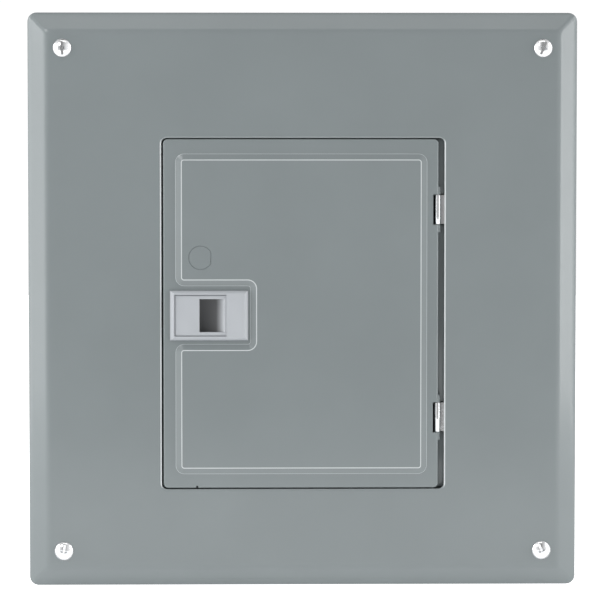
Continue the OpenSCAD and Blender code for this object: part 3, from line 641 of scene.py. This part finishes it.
def panel_step(sheet):
    """The step up to the panel. Returns its outer and its inner outline."""
    panel_front = -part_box("door")[0].y
    rise = panel_front - FRONT
    panel = panel_corners()
    radius = 4 * MM
    flat_margin = 0.5 * MM
    # Painted highlight lines along the step: one at its crest and a weaker one near its foot, where the
    # side lamps would glint.
    crest_line = 0.07 * MM
    foot_low, foot_high, foot_share = 0.01 * MM, 0.09 * MM, 0.6
    ramp = pressed_step(rise)
    middle = ramp[-1][0] / 2
    slope = [sheet.loop(outline(panel, radius, -middle - flat_margin), FRONT)]
    for along, height in ramp:
        painted_highlight = max(0.0, 1 - (rise - height) / crest_line) + foot_share * (foot_low < height < foot_high)
        slope.append(sheet.loop(outline(panel, radius, along - middle), FRONT + height, painted_highlight))
    slope.append(sheet.loop(outline(panel, radius, middle + flat_margin), panel_front))
    sheet.strips(slope)
    return slope[0], slope[-1]


def lock_knockout(sheet):
    """A pressed ring with one flat side, closed inside. Returns its outer outline."""
    panel_front = -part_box("door")[0].y
    centre = Vector((-72.6 * MM, 28.9 * MM))
    ring_radius = 8.3 * MM
    flat_side = 7.3 * MM
    groove = 0.4 * MM
    half = 0.4 * MM
    margin = 0.4 * MM
    steps = 72

    def ring(grow):
        points = []
        for k in range(steps):
            a = math.tau * k / steps
            spot = Vector((math.cos(a), math.sin(a))) * (ring_radius + grow)
            spot.x = min(spot.x, flat_side + grow)
            points.append(centre + spot)
        return points

    rings = [(half + margin, 0), (half, 0), (half / 2, groove * 0.6), (0, groove),
             (-half / 2, groove * 0.6), (-half, 0), (-half - margin, 0)]
    lock = [sheet.loop(ring(grow), panel_front - deep) for grow, deep in rings]
    sheet.strips(lock)
    sheet.fill(lock[-1])
    return lock[0]


def cut_door_edge(obj):
    """Notches for the hinge barrels, and a relief nick in the bottom edge."""
    low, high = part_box("door")
    past = 1 * MM
    front, back = -FRONT - past, high.y + past
    notch_x = 92.3 * MM
    half = BARREL_LEN / 2 + 0.6 * MM
    nick = low.x + 23.2 * MM
    nick_w, nick_h = 1.3 * MM, 1.6 * MM
    bm = bmesh.new()
    for z in hinge_heights():
        block(bm, (notch_x, front, z - half), (high.x + past, back, z + half))
    block(bm, (nick, front, low.z - past), (nick + nick_w, back, low.z + nick_h))
    cut(obj, bm)


def make_door():
    thick = 1.2 * MM
    window_corner = 1 * MM
    sheet = Sheet()
    border = door_rim(sheet)
    foot, crest = panel_step(sheet)
    # Window behind the latch slider
    window = outline(rectangle(-75.3 * MM, -45.6 * MM, -25.5 * MM, 1.3 * MM), window_corner)
    sheet.fill(border, foot, sheet.loop(window, FRONT))
    sheet.fill(crest, lock_knockout(sheet))
    obj = sheet.build("door_skin", thick)
    cut_door_edge(obj)
    smooth(obj)
    return place(obj, "door")


# ---- Fasteners ----


def lathe(bm, profile, centre, steps=48):
    """A turned solid from (radius, out) points, from the back of its axis to the front."""
    rings = []
    for radius, out in profile:
        if radius < 1e-7:
            rings.append([bm.verts.new((centre[0], -out, centre[1]))])
            continue
        angles = [math.tau * k / steps for k in range(steps)]
        spots = [(centre[0] + radius * math.cos(a), -out, centre[1] + radius * math.sin(a)) for a in angles]
        rings.append([bm.verts.new(spot) for spot in spots])
    for low, high in zip(rings, rings[1:]):
        for k in range(steps):
            ring = [low[k - 1], low[k], high[k], high[k - 1]] if len(low) > 1 and len(high) > 1 else (
                [low[0], high[k], high[k - 1]] if len(low) == 1 else [low[k - 1], low[k], high[0]])
            bm.faces.new(ring)


HEAD_R = 6.5 * MM
HEAD_H = 3.2 * MM


def screw_profile(back, front):
    """Half section of a pan-head screw, from the tip of its shank to the top of its head."""
    dome = 8.3 * MM
    shoulder = 0.5 * MM
    tip_r, shank_r, tip_len = 1.6 * MM, 2 * MM, 0.6 * MM
    dome_steps = 12
    edge = math.asin((HEAD_R - 0.05 * MM) / dome)
    profile = [(0, back), (tip_r, back), (shank_r, back + tip_len), (shank_r, front)]
    profile += [(HEAD_R - shoulder, front), (HEAD_R, front + shoulder * 0.6)]
    for k in range(dome_steps):
        a = edge * (1 - k / dome_steps)
        profile.append((dome * math.sin(a), front + HEAD_H - dome + dome * math.cos(a)))
    profile.append((0, front + HEAD_H))
    return profile


def screw_recess(top):
    """A slot, and a cross of two wedges that narrow towards the tip of the screw."""
    slot_half, slot_deep = 0.8 * MM, 1.5 * MM
    past = 1 * MM
    wide, narrow = (3.4 * MM, 1.15 * MM), (0.9 * MM, 0.45 * MM)
    cross_deep = 2.4 * MM
    shape = bmesh.new()
    block(shape, (-slot_half, -top - past, -HEAD_R - past), (slot_half, -top + slot_deep, HEAD_R + past))
    for across in (0, 1):
        ends = []
        for out, (reach, half) in ((top + past, wide), (top - cross_deep, narrow)):
            spots = [(-reach, -half), (reach, -half), (reach, half), (-reach, half)]
            ends.append([shape.verts.new((x, -out, z) if across else (z, -out, x)) for x, z in spots])
        for k in range(4):
            shape.faces.new((ends[0][k - 1], ends[0][k], ends[1][k], ends[1][k - 1]))
        shape.faces.new(ends[0])
        shape.faces.new(reversed(ends[1]))
    bmesh.ops.recalc_face_normals(shape, faces=shape.faces)
    return shape


def make_cover_screws():
    """Pan heads with a slot and a cross in each."""
    low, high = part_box("cover_screws")
    front = -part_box("cover")[0].y
    turns = (4, -24, -9, 23)
    spots = [(low.x + HEAD_R, high.z - HEAD_R), (high.x - HEAD_R, high.z - HEAD_R),
             (low.x + HEAD_R, low.z + HEAD_R), (high.x - HEAD_R, low.z + HEAD_R)]
    bm = bmesh.new()
    recesses = bmesh.new()
    for spot, turn in zip(spots, turns):
        lathe(bm, screw_profile(-high.y, front), spot)
        shape = screw_recess(front + HEAD_H)
        spin = Matrix.Rotation(math.radians(turn), 4, Vector((0, -1, 0)))
        shape.transform(Matrix.Translation((spot[0], 0, spot[1])) @ spin)
        part = bpy.data.meshes.new("part")
        shape.to_mesh(part)
        shape.free()
        recesses.from_mesh(part)
    obj = from_bmesh("cover_screws_turned", bm)
    cut(obj, recesses, crossing=True)
    smooth(obj)
    return place(obj, "cover_screws")


# ---- Latch spring ----


def make_spring():
    """Coil of the latch spring, drawn at rest; the real spring closes up towards the keeper's post as the
    slider moves to the right.
    """
    low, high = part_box("latch_spring")
    wire = 0.25 * MM
    coil = (high.z - low.z) / 2 - wire
    middle = (low + high) / 2
    turns, steps, sides = 7, 24, 8
    count = turns * steps
    span = high.x - low.x - 2 * wire
    bm = bmesh.new()
    rings = []
    for i in range(count + 1):
        turn = math.tau * i / steps
        outward = Vector((0, math.cos(turn), math.sin(turn)))
        spot = Vector((low.x + wire + span * i / count, middle.y, middle.z)) + outward * coil
        rings.append([bm.verts.new(spot + (outward * math.cos(b) + Vector((math.sin(b), 0, 0))) * wire)
                      for b in (math.tau * k / sides for k in range(sides))])
    for first, second in zip(rings, rings[1:]):
        for k in range(sides):
            bm.faces.new((first[k - 1], first[k], second[k], second[k - 1]))
    bm.faces.new(rings[0])
    bm.faces.new(reversed(rings[-1]))
    bmesh.ops.recalc_face_normals(bm, faces=bm.faces)
    obj = from_bmesh("spring_coil", bm)
    smooth(obj, 60)
    place(obj, "latch_spring")
    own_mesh(obj)


# ---- Edges of the other pieces ----


def refine_pieces():
    """Every node that no function above has drawn anew."""
    fine, plain, moulding, broad = 0.12 * MM, 0.25 * MM, 0.3 * MM, 0.4 * MM
    done = ("cover", "cover_screws", "door", "latch_spring")
    small = ("bonding_screw", "directory_card", "hinge_pins", "latch_keeper", "line_jaws", "load_clamps",
             "filler_plate")
    moulded = ("latch_bezel", "latch_slider", "main_case", "main_handle", "breaker_case", "breaker_handle",
               "neutral_supports")
    for node in NODES:
        if node in done:
            continue
        if node in small or node.endswith("_screws") or node.endswith("_studs"):
            refine(node, fine)
        elif node.startswith(moulded):
            refine(node, broad if node.startswith("main") else moulding, 3)
        else:
            refine(node, plain)


# ---- Stage ----


def softbox(name, azimuth, elevation, size, glow):
    """A soft panel that faces the object from its left (negative azimuth) or its right."""
    distance = 1.25
    data = bpy.data.lights.new(name, "AREA")
    data.shape = "RECTANGLE"
    data.size, data.size_y = size
    data.energy = math.pi * size[0] * size[1] * glow
    light = bpy.data.objects.new(name, data)
    bpy.context.scene.collection.objects.link(light)
    turn, rise = math.radians(azimuth), math.radians(elevation)
    away = Vector((math.sin(turn) * math.cos(rise), -math.cos(turn) * math.cos(rise), math.sin(rise)))
    light.location = away * distance
    light.rotation_euler = (-away).to_track_quat("-Z", "Y").to_euler()


def make_lights():
    tall, square = (0.4, 0.7), (0.4, 0.4)
    softbox("left_key", -40, 40, square, 3.8)
    softbox("left_low", -60, 5, tall, 1.5)
    softbox("left_edge", -78, 0, tall, 2.1)
    softbox("left_high", -80, 25, square, 4.0)
    softbox("right_side", 70, 0, (0.4, 0.8), 3.8)
    softbox("right_high", 75, 30, square, 2.4)
    softbox("top_edge", 0, 72, (0.9, 0.3), 1.2)


def make_floor():
    """White in the picture, and a dimmer light to the object."""
    half_w, near, far = 3, 0.95, 4
    gap = 0.3 * MM
    z = cad_box[0].z - gap
    bm = bmesh.new()
    bm.faces.new([bm.verts.new((x, y, z)) for x, y in rectangle(-half_w, half_w, -near, far)])
    floor = from_bmesh("floor", bm)
    n = Nodes("floor_white")
    n.tint((0.85, 0.85, 0.85), n.noise(3, 2), 0.01)
    n.set(Roughness=0.9, Emission_Color=(1, 1, 1, 1))
    ray = n.add("ShaderNodeLightPath")
    n.link(n.span(ray.outputs["Is Camera Ray"], 0.6, 1.0, 0, 1), n.shader.inputs["Emission Strength"])
    floor.data.materials.append(n.material)


def make_room():
    """White behind the object, and round it a room that is darker in front than at the sides."""
    world = bpy.data.worlds.new("studio")
    bpy.context.scene.world = world
    world.use_nodes = True
    tree = world.node_tree
    tree.nodes.clear()
    way = tree.nodes.new("ShaderNodeTexCoord")
    split = tree.nodes.new("ShaderNodeSeparateXYZ")
    across = tree.nodes.new("ShaderNodeMath")
    across.operation = "ABSOLUTE"
    shade = tree.nodes.new("ShaderNodeMapRange")
    shade.inputs["To Min"].default_value = 0.2
    shade.inputs["To Max"].default_value = 1.0
    room = tree.nodes.new("ShaderNodeBackground")
    room.inputs["Strength"].default_value = 1.3
    seen = tree.nodes.new("ShaderNodeBackground")
    seen.inputs["Color"].default_value = (1, 1, 1, 1)
    seen.inputs["Strength"].default_value = 1.05
    ray = tree.nodes.new("ShaderNodeLightPath")
    mix = tree.nodes.new("ShaderNodeMixShader")
    output = tree.nodes.new("ShaderNodeOutputWorld")
    tree.links.new(way.outputs["Generated"], split.inputs["Vector"])
    tree.links.new(split.outputs["X"], across.inputs[0])
    tree.links.new(across.outputs["Value"], shade.inputs["Value"])
    tree.links.new(shade.outputs["Result"], room.inputs["Color"])
    tree.links.new(ray.outputs["Is Camera Ray"], mix.inputs["Fac"])
    tree.links.new(room.outputs["Background"], mix.inputs[1])
    tree.links.new(seen.outputs["Background"], mix.inputs[2])
    tree.links.new(mix.outputs["Shader"], output.inputs["Surface"])


def make_camera():
    """Slightly left of centre and slightly above, through a long lens."""
    aim_x, aim_z = -2.2 * MM, -1.0 * MM
    aim = Vector((aim_x, cad_box[0].y, aim_z))
    distance = 2.13
    azimuth, elevation = math.radians(-1.0), math.radians(3.0)
    data = bpy.data.cameras.new("camera")
    data.sensor_width = 36
    frame_width = 424.8 * MM
    data.lens = data.sensor_width * distance / frame_width
    camera = bpy.data.objects.new("camera", data)
    bpy.context.scene.collection.objects.link(camera)
    back = Vector((math.sin(azimuth) * math.cos(elevation), -math.cos(azimuth) * math.cos(elevation),
                   math.sin(elevation)))
    camera.location = aim + back * distance
    camera.rotation_euler = (-back).to_track_quat("-Z", "Y").to_euler()
    bpy.context.scene.camera = camera


for node, obj in NODES.items():
    obj.data.materials.clear()
    obj.data.materials.append(MATERIALS[SLOT_OF[node]])
make_cover()
make_door()
make_cover_screws()
refine_pieces()
make_spring()
make_floor()
make_room()
make_lights()
make_camera()
bpy.context.scene.view_settings.view_transform = "Standard"
